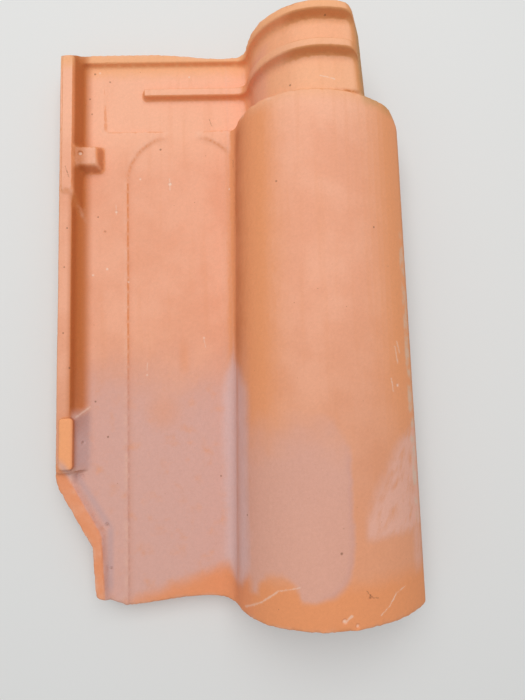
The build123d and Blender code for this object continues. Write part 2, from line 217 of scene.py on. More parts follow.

# Colours of the clay, and of the shade painted on slopes, steep faces, inner corners and the lock rib's
# foot
SKIN_DEEP = (0.86, 0.385, 0.235)
SKIN_PALE = (0.90, 0.43, 0.275)
HEAD_SKIN = (0.97, 0.50, 0.325)
STREAK_SKIN = (0.82, 0.35, 0.19)
LOWER_SKIN = (0.68, 0.285, 0.15)
# Partly painted shade: more saturated orange on sloping faces, where less light falls
SLOPE_SKIN_AND_SHADE = (0.85, 0.335, 0.145)
WARM_SKIN = (0.80, 0.31, 0.15)
TAIL_SKIN = (0.86, 0.365, 0.185)
BLOOM_PINK = (0.72, 0.405, 0.335)
BLOOM_PALE = (0.82, 0.47, 0.385)
STAIN_PURPLE = (0.58, 0.30, 0.26)
# Partly painted shade: the darker orange of steep faces is partly clay bare of bloom and partly shade
# painted where less light falls
RAW_AND_SHADE_DEEP = (0.60, 0.215, 0.085)
RAW_AND_SHADE_LIGHT = (0.68, 0.265, 0.12)
# Painted shade: brown darkening in inner corners and creases
CORNER_SHADE_BROWN = (0.56, 0.22, 0.10)
NECK_PINK = (0.84, 0.42, 0.29)
HEAD_YELLOW = (0.90, 0.435, 0.200)
# Partly painted shade: brown on the neck's steep right faces at the head
LIP_BROWN_AND_SHADE = (0.66, 0.26, 0.085)
# Painted shade: dark brown in the concave foot of the lock rib
ROOT_SHADE_BROWN = (0.52, 0.150, 0.038)
FOOT_LILAC = (0.76, 0.50, 0.465)
BARE_BARREL = (0.84, 0.315, 0.130)
BARE_PAN = (0.84, 0.305, 0.135)
STOP_ORANGE = (0.98, 0.43, 0.19)
GUSSET_GREY = (0.54, 0.365, 0.355)
WORN_PALE = (0.90, 0.55, 0.40)
MOSS_GREEN = (0.36, 0.27, 0.10)
ALGAE_GREY = (0.66, 0.58, 0.46)
MARK_PALE = (0.94, 0.74, 0.60)
MARK_DARK = (0.20, 0.09, 0.045)
SAND_DARK = (0.32, 0.14, 0.07)

# Noises in the clay, in millimetres: feature sizes, and how far they shift the edges of tones
CLOUD_SIZE = 34.0
PATCH_SIZE = 11.0
FINE_SIZE = 2.2
POWDER_SIZE = 0.7
STREAK_SIZE = 6.0
STREAK_SQUEEZE = (1.0, 0.06, 1.0)
SLANT_SIZE = 5.0
SLANT_TURN = math.radians(35)
SLANT_SQUEEZE = (1.0, 0.15, 1.0)
SAND_SPACING = 9.0
SAND_REACH = (0.06, 0.02)   # rim of a sand grain, as a share of the spacing
SAND_PICK = (0.70, 0.74)    # only cells whose random number is higher have a grain
WANDER = 60.0
RAGGED = 16.0

# Strength of the marks, how rough their rims are, and the clay's fine tone, roughness and bumps
PALE_FRAY = 1.2
DARK_FRAY = 0.5
PALE_SPOT_STRENGTH = 0.8
SCRATCH_STRENGTH = 0.75
DARK_SPOT_STRENGTH = 0.75
BASE_TONE = 0.84
TONE_RANGE = 0.16
BASE_ROUGHNESS = 0.74
ROUGHNESS_RANGE = 0.2
BLOOM_ROUGHNESS = 0.08
SPECULAR_LEVEL = 0.25
BUMP_STRENGTH = 0.6
BUMP_DISTANCE = 0.00025     # metres
BUMP_SHARE = 0.6

# Edges of tones: a pair is where a tone starts and where it is full, and three numbers are the
# low end, the high end and the softness of a band. Places along X, Y and Z are in millimetres.
HEAD_SKIN_Y = (110.0, 160.0)
LOWER_SKIN_Y = (20.0, -130.0)
SLOPE_UP = (0.99, 0.74)
SLOPE_Y = (-165.0, -40.0)
TAIL_SKIN_Y = (-120.0, -175.0)
ON_PAN_X = (14.0, 6.0)
ON_BARREL_X = (4.0, 12.0)
AT_HEAD_Y = (142.0, 156.0)

PAN_BLOOM_Y = (-10.0, -95.0)
PAN_BLOOM_TAIL = (-199.0, -181.0)
RIB_TOP_Z = (27.0, 30.0)
RIB_SIDE_X = (-100.0, -115.0)
TAIL_SLANT = -0.33
LEFT_BLOOM_X = (-118.0, -124.0)

OVAL_PLACE = (30.0, -140.0)
OVAL_HALF_SIZES = (48.0, 62.0)
OVAL_RIM = (1.22, 0.80)
BARREL_BLOOM_Y = (-62.0, -118.0)
DOME_SQUEEZE = (1.5, 1.0, 0.0)
DOME_PLACE = (40.5, -206.0, 0.0)
DOME_RIM = (17.0, 25.0)
STAIN_RIM = (0.80, 1.02, 0.16)
STAIN_Y = (-90.0, -120.0)
STAIN_X = (50.0, 62.0)

RIGHT_LOW_LINE = (0.59, 174.0)      # slope and X at Y 0 of the lower and of the upper stretch
RIGHT_HIGH_LINE = (1.4, 257.0)
RIGHT_BLOOM_RIM = (-6.0, 9.0)
RIGHT_BLOOM_Y = (-168.0, -160.0)
RIGHT_BLOOM_X = (84.0, 90.0)
RIGHT_EDGE_X = (122.0, 128.0)
RIGHT_EDGE_Y = (-196.0, -100.0, 6.0)

WARM_STRIP_X = (-43.0, -36.0, 3.0)
WARM_STRIP_Y = (-46.0, -22.0, 8.0)
WARM_SPOT = (-56.0, -77.0, 19.0)
WARM_SPOT_RIM = (20.0, 4.0)

# Steep faces, where the darker orange is partly painted shade
STEEP_UP = (0.66, 0.25)
CALM_X = (50.0, 20.0)
NECK_RIGHT_X = (62.0, 44.0)
NECK_LEFT_X = (12.0, 26.0)
YELLOW_Y = (198.0, 212.0)
YELLOW_Z = (50.0, 58.0)
# Where the brown lip, partly painted shade, lies on the neck's steep right faces
LIP_X = (40.0, 52.0)
LIP_UP = (0.93, 0.75)

# Where the painted shade at the lock rib's foot lies
ROOT_RIGHT_X = (-110.0, -119.0)
ROOT_LEFT_X = (-129.0, -123.0)
ROOT_Y = (-98.0, -80.0)
ROOT_Z = (33.0, 30.0)

FOOT_X = -0.5
FOOT_HALF_WIDTH = 11.0
FOOT_HEAD_Y = (-18.0, -66.0)
FOOT_TAIL_Y = (-212.0, -188.0)
FOOT_RIM = (2.0, -7.0)

TAIL_BAND = (-183.0, -199.0)
TAIL_BAND_X = (-84.0, -78.0)
FLANGE_ACROSS = (0.82, 0.53)        # X and Y parts of the direction across the cut corner
FLANGE_RIM = (-167.5, -171.5)
FLANGE_Y = (-94.0, -104.0)
TAIL_FLANGE_X = (-99.5, -102.0)
TAIL_FLANGE_Y = (-150.0, -165.0)
FLANGE_Z = (24.0, 25.5)
STOP_Z = (33.0, 34.5)
STOP_Y = (-70.0, -76.0)
STOP_X = (-115.0, -118.0)

GUSSET_X = (-124.0, -112.0, 3.0)
GUSSET_Y = (-118.0, -74.0, 5.0)
GUSSET_Z = (32.0, 29.0)
BESIDE_FLANGE = (-167.5, -163.0, 2.5)
BESIDE_FLANGE_Y = (-162.0, -110.0, 5.0)
BESIDE_TAIL_X = (-99.0, -94.5, 2.0)
BESIDE_TAIL_Y = (-208.0, -160.0, 6.0)

MOSS_X = (-133.5, -136.5)
MOSS_Z = (20.0, 26.0)
NECK_MOSS_X = (98.0, 104.0)
ALGAE_X = 131.0
ALGAE_RIM = (3.6, 1.0)
ALGAE_Y = (-150.0, 50.0, 20.0)


def sums(index, values, count):
    """Row sums of the values that share an index."""
    flat = values.reshape(len(values), -1)
    columns = [np.bincount(index, flat[:, k], count) for k in range(flat.shape[1])]
    return np.stack(columns, axis=1).reshape(count, *values.shape[1:])


def weld_numbers(points, reach):
    """For each point the number of the first point that lies within reach."""
    tree = kdtree.KDTree(len(points))
    for i, point in enumerate(points):
        tree.insert(point, i)
    tree.balance()
    return np.array([min(found[1] for found in tree.find_range(point, reach)) for point in points])


def welded(node):
    """A CAD node's triangles as points and corner numbers, with the points of neighbouring faces joined."""
    mesh = node.data
    mesh.calc_loop_triangles()
    vertex = np.empty(len(mesh.loop_triangles) * 3, np.int32)
    mesh.loop_triangles.foreach_get("vertices", vertex)
    point = np.empty(len(mesh.vertices) * 3, np.float32)
    mesh.vertices.foreach_get("co", point)
    point = point.reshape(-1, 3).astype(float)
    return joined(point, vertex.reshape(-1, 3), WELD_REACH)


def joined(points, corners, reach):
    """Points within reach of each other made one, if possible on an arris, and no triangle left twice."""
    signs = arris_signs(corners, arris_flags(points, corners), len(points))
    order = np.argsort(-np.abs(signs), kind="stable")
    points, corners = points[order], np.argsort(order)[corners]
    target = weld_numbers(points, reach)
    for _ in range(JOIN_ROUNDS):
        target = target[target]
    used, number = np.unique(tidy_corners(target[corners]), return_inverse=True)
    return points[used], number.reshape(-1, 3)


def tidy_corners(corners):
    """The triangles that are left when points were joined: none with a side of no length, none twice."""
    corners = corners[(corners != corners[:, [1, 2, 0]]).all(1)]
    a, b, c = corners.T
    even = ((b - a) * (c - b) > 0) == (a < c)
    triples, number = np.unique(np.sort(corners, axis=1), axis=0, return_inverse=True)
    net = np.bincount(number.reshape(-1), np.where(even, 1, -1), len(triples))
    return np.where((net > 0)[:, None], triples, triples[:, ::-1])[net != 0]


def edge_keys(corners, count):
    """One number for each side of each triangle, the same for both triangles that share it."""
    ahead = corners[:, [1, 2, 0]]
    return np.minimum(corners, ahead).astype(np.int64) * count + np.maximum(corners, ahead)


def unit(vectors):
    """Rows made one unit long."""
    return vectors / np.maximum(np.linalg.norm(vectors, axis=1), TINY)[:, None]


def face_normals(points, corners):
    """Unit normals of triangles."""
    a, b, c = points[corners[:, 0]], points[corners[:, 1]], points[corners[:, 2]]
    normals = np.cross(b - a, c - a)
    return unit(normals)


def arris_flags(points, corners):
    """For each side of each triangle 1 on an outer arris, -1 in an inner corner and 0 elsewhere."""
    normals = face_normals(points, corners)
    keys = edge_keys(corners, len(points)).reshape(-1)
    order = np.argsort(keys, kind="stable")
    first, second = order[:-1], order[1:]
    paired = keys[first] == keys[second]
    first, second = first[paired], second[paired]
    turn = (normals[first // 3] * normals[second // 3]).sum(1)
    opposite = points[corners.reshape(-1)[second // 3 * 3 + (second + 2) % 3]]
    base = points[corners.reshape(-1)[first]]
    rise = ((opposite - base) * normals[first // 3]).sum(1)
    flag = np.where(turn < math.cos(SHARP_ANGLE), np.where(rise < 0, 1, -1), 0)
    flags = np.zeros(len(keys), int)
    flags[first] = flag
    flags[second] = flag
    return flags.reshape(-1, 3)


def side_points(corners, splits, count):
    """Numbers of the new middle points of the split sides, and the two ends of each new point."""
    keys = edge_keys(corners, count)
    new_keys, where = np.unique(keys[splits], return_inverse=True)
    middles = np.full(corners.shape, -1)
    middles[splits] = count + where.reshape(-1)
    return middles, np.stack([new_keys // count, new_keys % count], axis=1)


def pieces_of(pattern):
    """How a triangle is cut when some of its sides are split, as corner triples.

    Corners are 0, 1 and 2, and the middle of side k, which runs from corner k to the next, is 3 + k.
    """
    count = sum(pattern)
    if count == 0:
        return [(0, 1, 2)]
    if count == 3:
        return [(0, 3, 5), (3, 1, 4), (5, 4, 2), (3, 4, 5)]
    turn = [k for k in range(3) if pattern[k] and (count == 1 or pattern[(k + 1) % 3])][0]
    a, b, c = turn, (turn + 1) % 3, (turn + 2) % 3
    if count == 1:
        return [(a, 3 + a, c), (3 + a, b, c)]
    return [(3 + a, b, 3 + b), (a, 3 + a, 3 + b), (a, 3 + b, c)]


def split_sides(points, corners, splits):
    """Cut every triangle at the middles of its split sides."""
    middles, ends = side_points(corners, splits, len(points))
    nodes = np.concatenate([corners, middles], axis=1)
    code = splits @ np.array([1, 2, 4])
    made = []
    for pattern in range(8):
        rows = nodes[code == pattern]
        made += [rows[:, triple] for triple in pieces_of([bool(pattern >> k & 1) for k in range(3)])]
    return np.concatenate([points, points[ends].mean(1)]), np.concatenate(made)


def in_chips(points, chips):
    """Which points lie in or beside a chip."""
    inside = np.zeros(len(points), bool)
    for x, y, z, radius, _ in chips:
        inside |= np.linalg.norm(points * 1000 - np.array([x, y, z]), axis=1) < MARK_REACH * radius
    return inside


def wanted_sides(points, corners, chips):
    """How long the sides of each triangle may be: short at chips, longer underneath."""
    wanted = np.where(face_normals(points, corners)[:, 2] > UNDER_TURN, FACE_SIDE, UNDER_SIDE)
    return np.where(in_chips(points, chips)[corners].any(1), MARK_SIDE, wanted)


def split_long(points, corners, chips, limit):
    """Split the sides that are longer than wanted and than the limit."""
    length = np.linalg.norm(points[corners[:, [1, 2, 0]]] - points[corners], axis=2)
    long = length > np.maximum(wanted_sides(points, corners, chips), limit)[:, None]
    keys = edge_keys(corners, len(points))
    return split_sides(points, corners, np.isin(keys, keys[long]))


def shared_sides(corners, count):
    """The two places of each shared side in the flat list of sides, and the keys of all sides."""
    keys = edge_keys(corners, count).reshape(-1)
    order = np.argsort(keys, kind="stable")
    _, first, number = np.unique(keys[order], return_index=True, return_counts=True)
    first = first[number == 2]
    return order[first], order[first + 1], keys


def across(points, start, end, tip):
    """Cotangent of a triangle's angle at its tip, its height over the other two corners and its normal."""
    one, two = points[start] - points[tip], points[end] - points[tip]
    area = np.cross(one, two)
    size = np.linalg.norm(area, axis=1)
    height = size / np.maximum(np.linalg.norm(points[end] - points[start], axis=1), TINY)
    return (one * two).sum(1) / np.maximum(size, TINY), height, unit(area)


def turn_sides(points, corners):
    """Turn the side that two neighbouring triangles share where that makes them less narrow."""
    signs = arris_signs(corners, arris_flags(points, corners), len(points))
    for _ in range(TURN_ROUNDS):
        one, two, keys = shared_sides(corners, len(points))
        flat = corners.reshape(-1)
        a, b = flat[one], flat[one // 3 * 3 + (one + 1) % 3]
        c, d = flat[one // 3 * 3 + (one + 2) % 3], flat[two // 3 * 3 + (two + 2) % 3]
        first, first_height, first_normal = across(points, a, b, c)
        second, second_height, second_normal = across(points, b, a, d)
        narrow = np.minimum(first_height, second_height) < NARROW
        level = (first_normal * second_normal).sum(1) > TURN_LEVEL
        free = narrow | (level & ((signs[a] == 0) | (signs[b] == 0)))
        new_keys = np.minimum(c, d).astype(np.int64) * len(points) + np.maximum(c, d)
        sound = (flat[two] == b) & ~np.isin(new_keys, keys) & (c != d)
        rows = np.nonzero(free & sound & (first + second < TURN_GAIN))[0]
        rows = rows[np.argsort((first + second)[rows], kind="stable")]
        rank = np.arange(len(rows))
        best = np.full(len(corners), len(rows))
        np.minimum.at(best, one[rows] // 3, rank)
        np.minimum.at(best, two[rows] // 3, rank)
        rows = rows[(best[one[rows] // 3] == rank) & (best[two[rows] // 3] == rank)]
        corners = corners.copy()
        corners[one[rows] // 3] = np.stack([a, d, c], axis=1)[rows]
        corners[two[rows] // 3] = np.stack([d, b, c], axis=1)[rows]
    return corners


def cut_in_cells(points, corners):
    """The flat faces of the CAD triangles, cut along a grid of planes and cut in triangles again."""
    mesh = bpy.data.meshes.new("cells")
    mesh.from_pydata(points.tolist(), [], corners.tolist())
    bm = bmesh.new()
    bm.from_mesh(mesh)
    bmesh.ops.dissolve_limit(bm, angle_limit=FLAT_ANGLE, verts=bm.verts, edges=bm.edges)
    for axis in range(3):
        normal = Vector([float(k == axis) for k in range(3)])
        steps = int(np.ceil((points[:, axis].max() - points[:, axis].min()) / CELL))
        for step in range(1, steps):
            place = normal * (points[:, axis].min() + step * CELL)
            every = bm.verts[:] + bm.edges[:] + bm.faces[:]
            bmesh.ops.bisect_plane(bm, geom=every, dist=CELL_REACH, plane_co=place, plane_no=normal)
    bmesh.ops.triangulate(bm, faces=bm.faces)
    bm.to_mesh(mesh)
    bm.free()
    points = np.empty(len(mesh.vertices) * 3, np.float32)
    mesh.vertices.foreach_get("co", points)
    corners = np.empty(len(mesh.loops), np.int32)
    mesh.loops.foreach_get("vertex_index", corners)
    bpy.data.meshes.remove(mesh)
    return points.reshape(-1, 3).astype(float), corners.reshape(-1, 3).astype(int)


def evened(points, corners, chips):
    """The same shape in triangles of an even size, small at the chips."""
    points, corners = joined(*cut_in_cells(points, corners), JOIN_REACH)
    limit = CELL
    while limit > MARK_SIDE / LIMIT_STEP:
        points, corners = split_long(points, turn_sides(points, corners), chips, limit)
        limit /= LIMIT_STEP
    points, corners = joined(points, turn_sides(points, corners), JOIN_REACH)
    return points, turn_sides(points, corners)


def neighbour_mean(values, ends):
    """The mean over each vertex's neighbours."""
    here = np.concatenate([ends[:, 0], ends[:, 1]])
    there = np.concatenate([ends[:, 1], ends[:, 0]])
    total = sums(here, values[there].reshape(len(there), -1), len(values))
    count = np.maximum(np.bincount(here, minlength=len(values)), 1)
    return (total / count[:, None]).reshape(values.shape)


def arris_signs(corners, flags, count):
    """For each vertex 1 on an outer arris, -1 in an inner corner and 0 elsewhere."""
    signs = np.zeros(count)
    for sign in (-1, 1):
        signs[corners[flags == sign]] = sign
        signs[corners[:, [1, 2, 0]][flags == sign]] = sign
    return signs


def soften(places, ends, signs):
    """Round the arrises and inner corners a little, as worn and fired clay has them."""
    near = np.abs(signs)
    near = np.maximum(near, BESIDE_ARRIS * (neighbour_mean(near, ends) > 0))
    for _ in range(ARRIS_SMOOTHING):
        places = places + ARRIS_SHARE * near[:, None] * (neighbour_mean(places, ends) - places)
    return places


def relief(places):
    """Depth of the pressed waves, ripples and grain at each vertex."""
    depth = np.zeros(len(places))
    for i, place in enumerate(places):
        p = Vector(place)
        depth[i] += WAVE_DEPTH * (0.5 + 0.5 * noise.noise(p / WAVE_SIZE))
        depth[i] += RIPPLE_DEPTH * (0.5 + 0.5 * noise.noise(p / RIPPLE_SIZE + Vector(RIPPLE_SHIFT)))
        depth[i] += GRAIN_DEPTH * (0.5 + 0.5 * noise.noise(p / GRAIN_SIZE + Vector(GRAIN_SHIFT)))
    return depth


def chip_depth(places, chips):
    """Depth of the chips at each vertex, with ragged rims."""
    depth = np.zeros(len(places))
    for x, y, z, radius, deep in chips:
        away = np.linalg.norm(places * 1000 - np.array([x, y, z]), axis=1)
        for i in np.nonzero(away < CHIP_REACH * radius)[0]:
            ragged = 1.0 + CHIP_ROUGHNESS * noise.noise(Vector(places[i]) * 1000 / CHIP_NOISE_MM)
            inside = 1.0 - (away[i] / (radius * ragged)) ** 2
            depth[i] = max(depth[i], deep / 1000 * min(1.0, CHIP_STEEPNESS * max(0.0, inside)))
    return depth


def vertex_normals(points, corners):
    """Normals at the points, averaged over the triangles round them."""
    a, b, c = points[corners[:, 0]], points[corners[:, 1]], points[corners[:, 2]]
    areas = np.cross(b - a, c - a)
    normals = sums(corners.reshape(-1), np.repeat(areas, 3, axis=0), len(points))
    return unit(normals)


def marked_pixels():
    """Every pixel that the lists of marks name."""
    lines = SCRATCHES + HAIRS
    firsts = {mark[:2] for mark in CHIPS + DARK_SPECKS + PALE_MARKS + lines}
    return firsts | {line[2:4] for line in lines}


def seen_places(points, corners):
    """For each marked pixel the place on the tile that it shows from the camera, in millimetres."""
    tree = BVHTree.FromPolygons(points.tolist(), corners.tolist())
    turn = Euler(CAMERA_TURN).to_matrix()
    pixel = SENSOR_SIZE / PHOTO_ROWS
    places = {}
    for column, row in marked_pixels():
        across = (column - PHOTO_COLUMNS / 2) * pixel
        upward = (PHOTO_ROWS / 2 - row) * pixel
        hit = tree.ray_cast(Vector(CAMERA_PLACE), turn @ Vector((across, upward, -CAMERA_LENS)))[0]
        places[column, row] = tuple(round(1000 * part, PLACE_DIGITS) for part in hit)
    return places


def placed_spots(spots, places):
    """Chips, specks or marks with X, Y and Z in place of their pixel."""
    return [(*places[spot[:2]], *spot[2:]) for spot in spots]


def placed_lines(lines, places):
    """Scratches or hairs with X and Y of both ends in place of the pixels."""
    return [(*places[line[:2]][:2], *places[line[2:4]][:2], *line[4:]) for line in lines]


def make_tile(cad_points, cad_corners, chips):
    """The tile over the CAD node's shape, with worn arrises, pressed relief and chips."""
    points, corners = evened(cad_points, cad_corners, chips)
    signs = arris_signs(corners, arris_flags(points, corners), len(points))
    keys = np.unique(edge_keys(corners, len(points)))
    ends = np.stack([keys // len(points), keys % len(points)], axis=1)
    points = soften(points, ends, signs)
    depth = relief(points) + chip_depth(points, chips)
    points = points - vertex_normals(points, corners) * depth[:, None]
    points = np.clip(points, cad_points.min(0), cad_points.max(0))
    mesh = bpy.data.meshes.new("clay_tile")
    mesh.from_pydata(points.tolist(), [], corners.tolist())
    # Masks of the worn arrises and of the painted shade in inner corners
    for name, values in (("arris", np.maximum(signs, 0.0)), ("corner", np.maximum(-signs, 0.0))):
        for _ in range(WEAR_AND_SHADE_SPREAD):
            values = (1 - WEAR_AND_SHADE_SHARE) * values + WEAR_AND_SHADE_SHARE * neighbour_mean(values, ends)
        mesh.attributes.new(name, "FLOAT", "POINT").data.foreach_set("value", values.astype(np.float32))
    mesh.polygons.foreach_set("use_smooth", np.ones(len(mesh.polygons), bool))
    mesh.update()
    mesh.normals_split_custom_set_from_vertices(vertex_normals(points, corners).tolist())
    tile = bpy.data.objects.new("clay_tile", mesh)
    bpy.context.scene.collection.objects.link(tile)
    print("clay_tile", len(corners), "triangles")
    return tile


class Graph:
    """Short calls that add nodes to a material. Values may be numbers or sockets."""

    def __init__(self, name):
        self.material = bpy.data.materials.new(name)
        self.material.use_nodes = True
        self.nodes = self.material.node_tree.nodes
        self.links = self.material.node_tree.links
        self.shader = self.nodes["Principled BSDF"]

    def put(self, socket, value):
        """Set a socket to a number or link it to another socket."""
        if isinstance(value, bpy.types.NodeSocket):
            self.links.new(value, socket)
        elif value is not None:
            socket.default_value = value

    def math(self, operation, first, second=None):
        """A Math node."""
        node = self.nodes.new("ShaderNodeMath")
        node.operation = operation
        self.put(node.inputs[0], first)
        self.put(node.inputs[1], second)
        return node.outputs[0]

    def add(self, first, second):
        """Sum of two values."""
        return self.math("ADD", first, second)

    def times(self, first, *others):
        """Product of values."""
        for other in others:
            first = self.math("MULTIPLY", first, other)
        return first

    def both(self, first, second):
        """The larger of two masks."""
        return self.math("MAXIMUM", first, second)

    def less(self, first, second):
        """The first value less the second."""
        return self.math("SUBTRACT", first, second)

    def without(self, mask):
        """One less a mask."""
        return self.less(1.0, mask)

    def rise(self, value, start, end):
        """A smooth step from 0 at start to 1 at end, where start may be the larger."""
        node = self.nodes.new("ShaderNodeMapRange")
        node.interpolation_type = "SMOOTHSTEP"
        self.put(node.inputs["Value"], value)
        if start < end:
            self.put(node.inputs["From Min"], start)
            self.put(node.inputs["From Max"], end)
            return node.outputs["Result"]
        self.put(node.inputs["From Min"], end)
        self.put(node.inputs["From Max"], start)
        return self.without(node.outputs["Result"])

    def band(self, value, low, high, soft):
        """A mask that is 1 between low and high, with soft ends."""
        above = self.rise(value, low - soft, low + soft)
        return self.times(above, self.rise(value, high + soft, high - soft))

    def mix(self, mask, first, second):
        """Two colours mixed by a mask."""
        node = self.nodes.new("ShaderNodeMix")
        node.data_type = "RGBA"
        self.put(node.inputs["Factor"], mask)
        a = [s for s in node.inputs if s.name == "A" and s.type == "RGBA"][0]
        b = [s for s in node.inputs if s.name == "B" and s.type == "RGBA"][0]
        self.put(a, first if isinstance(first, bpy.types.NodeSocket) else (*first, 1.0))
        self.put(b, second if isinstance(second, bpy.types.NodeSocket) else (*second, 1.0))
        return [s for s in node.outputs if s.type == "RGBA"][0]

    def vector(self, operation, first, second):
        """A Vector Math node. To scale, the second value is a number."""
        node = self.nodes.new("ShaderNodeVectorMath")
        node.operation = operation
        self.put(node.inputs[0], first)
        self.put(node.inputs["Scale" if operation == "SCALE" else 1], second)
        return node.outputs["Value" if operation in ("DOT_PRODUCT", "DISTANCE") else "Vector"]

    def scale(self, vector, factors):
        """A vector multiplied part by part."""
        return self.vector("MULTIPLY", vector, factors)

    def distance(self, vector, point):
        """Distance from a point."""
        return self.vector("DISTANCE", vector, point)

    def turned(self, vector, angle):
        """A vector turned about Z."""
        node = self.nodes.new("ShaderNodeVectorRotate")
        node.rotation_type = "Z_AXIS"
        self.put(node.inputs["Vector"], vector)
        self.put(node.inputs["Angle"], angle)
        return node.outputs[0]

    def noise(self, vector, size, detail=3.0, roughness=0.5):
        """Noise from 0 to 1 with features of about that size."""
        node = self.nodes.new("ShaderNodeTexNoise")
        self.put(node.inputs["Vector"], vector)
        self.put(node.inputs["Scale"], 1.0 / size)
        self.put(node.inputs["Detail"], detail)
        self.put(node.inputs["Roughness"], roughness)
        return node.outputs[0]

    def parts(self, vector):
        """The three parts of a vector or colour."""
        node = self.nodes.new("ShaderNodeSeparateXYZ")
        self.put(node.inputs[0], vector)
        return node.outputs

    def spots(self, place, rough, roughness, spots):
        """A mask of small spots with rough rims, each given as X, Y, Z and radius."""
        mask = 0.0
        for x, y, z, radius in spots:
            away = self.add(self.distance(place, (x, y, z)), self.times(rough, roughness))
            rim = radius + SPOT_RIM + roughness / 2
            mask = self.both(mask, self.rise(away, rim, radius * SPOT_CORE))
        return mask

    def lines(self, place, rough, lines):
        """A mask of thin rough lines, each given as X and Y of both ends, half width and strength."""
        place = self.scale(place, (1.0, 1.0, 0.0))
        mask = 0.0
        for start_x, start_y, end_x, end_y, half, strength in lines:
            start = Vector((start_x, start_y, 0.0))
            run = Vector((end_x, end_y, 0.0)) - start
            away = self.vector("SUBTRACT", place, start)
            share = self.times(self.vector("DOT_PRODUCT", away, run / run.length_squared), 1.0)
            share.node.use_clamp = True
            gap = self.distance(away, self.vector("SCALE", run, share))
            gap = self.add(gap, self.times(rough, LINE_FRAY))
            line = self.rise(gap, half + LINE_RIM, half * LINE_CORE + LINE_CORE_RIM)
            mask = self.both(mask, self.times(line, strength))
        return mask

    def attribute(self, name):
        """A number stored on the mesh."""
        node = self.nodes.new("ShaderNodeAttribute")
        node.attribute_name = name
        return node.outputs["Fac"]


class ClayGraph(Graph):
    """A clay material with the places in millimetres and the noises that its tones go by."""

    def __init__(self, name):
        super().__init__(name)
        texture_place = self.nodes.new("ShaderNodeTexCoord").outputs["Object"]
        self.place = self.scale(texture_place, (1000, 1000, 1000))
        self.x, self.y, self.z = self.parts(self.place)
        self.up = self.parts(self.nodes.new("ShaderNodeNewGeometry").outputs["Normal"])[2]
        self.cloud = self.noise(self.place, CLOUD_SIZE, detail=4.0)
        self.patch = self.noise(self.place, PATCH_SIZE)
        self.fine = self.noise(self.place, FINE_SIZE, roughness=0.6)
        self.powder = self.noise(self.place, POWDER_SIZE, detail=2.0, roughness=0.7)
        self.streak = self.noise(self.scale(self.place, STREAK_SQUEEZE), STREAK_SIZE)
        self.wander = self.times(self.less(self.cloud, 0.5), WANDER)
        self.ragged = self.times(self.less(self.patch, 0.5), RAGGED)
        self.on_pan = self.rise(self.x, *ON_PAN_X)
        self.on_barrel = self.rise(self.x, *ON_BARREL_X)
        self.at_head = self.rise(self.y, *AT_HEAD_Y)
        self.wavy_y = self.add(self.y, self.add(self.wander, self.ragged))
        slanted = self.times(self.math("MINIMUM", self.x, 0.0), TAIL_SLANT)
        self.tail_line = self.add(self.frayed(self.y, 0.4), slanted)
        self.flange_line = self.add(
            self.times(self.x, FLANGE_ACROSS[0]), self.times(self.y, FLANGE_ACROSS[1]))
        self.oval = self.oval_reach()

    def frayed(self, value, share):
        """A value shifted by a share of the ragged noise."""
        return self.add(value, self.times(self.ragged, share))

    def tint(self, colour, mask, second, strength):
        """A colour with a second one laid over it where the mask is, at that strength."""
        return self.mix(self.times(mask, strength), colour, second)

    def oval_reach(self):
        """How far out a place lies in the oval of the barrel's bloom, about 1 at its rim."""
        across = self.add(self.frayed(self.x, 0.35), -OVAL_PLACE[0])
        along = self.add(self.frayed(self.y, 0.45), -OVAL_PLACE[1])
        across = self.times(across, 1.0 / OVAL_HALF_SIZES[0])
        along = self.times(along, 1.0 / OVAL_HALF_SIZES[1])
        return self.add(self.times(across, across, across, across), self.times(along, along, along, along))


def pressed_skin_and_slope_shade(g):
    """The pale pressed skin: paler at the head, streaked, darker lower down, and a more saturated orange on
    slopes that is partly painted shade.
    """
    skin = g.mix(g.rise(g.cloud, 0.35, 0.65), SKIN_DEEP, SKIN_PALE)
    skin = g.tint(skin, g.rise(g.frayed(g.y, 1.0), *HEAD_SKIN_Y), HEAD_SKIN, strength=0.85)
    skin = g.tint(skin, g.rise(g.streak, 0.5, 0.75), STREAK_SKIN, strength=0.25)
    skin = g.tint(skin, g.rise(g.add(g.y, g.wander), *LOWER_SKIN_Y), LOWER_SKIN, strength=0.55)
    sloping = g.times(g.rise(g.up, *SLOPE_UP), g.rise(g.y, *SLOPE_Y))
    return g.tint(skin, sloping, SLOPE_SKIN_AND_SHADE, strength=0.95)


def pan_bloom(g):
    """Mask of the pan's bloom, between its wavy upper end and the bare tail band."""
    bloom = g.times(g.rise(g.wavy_y, *PAN_BLOOM_Y), g.rise(g.tail_line, *PAN_BLOOM_TAIL), g.on_pan)
    on_rib = g.times(g.rise(g.z, *RIB_TOP_Z), g.rise(g.x, *RIB_SIDE_X))
    return g.times(bloom, g.without(on_rib), g.rise(g.patch, 0.05, 0.5))


def barrel_bloom(g):
    """Mask of the barrel's bloom: an oval cut off at its upper end, with a dome cut out at the tail."""
    dome = g.distance(g.scale(g.place, DOME_SQUEEZE), DOME_PLACE)
    bloom = g.times(g.rise(g.oval, *OVAL_RIM), g.on_barrel, g.rise(g.frayed(dome, 0.5), *DOME_RIM))
    return g.times(bloom, g.rise(g.wavy_y, *BARREL_BLOOM_Y))


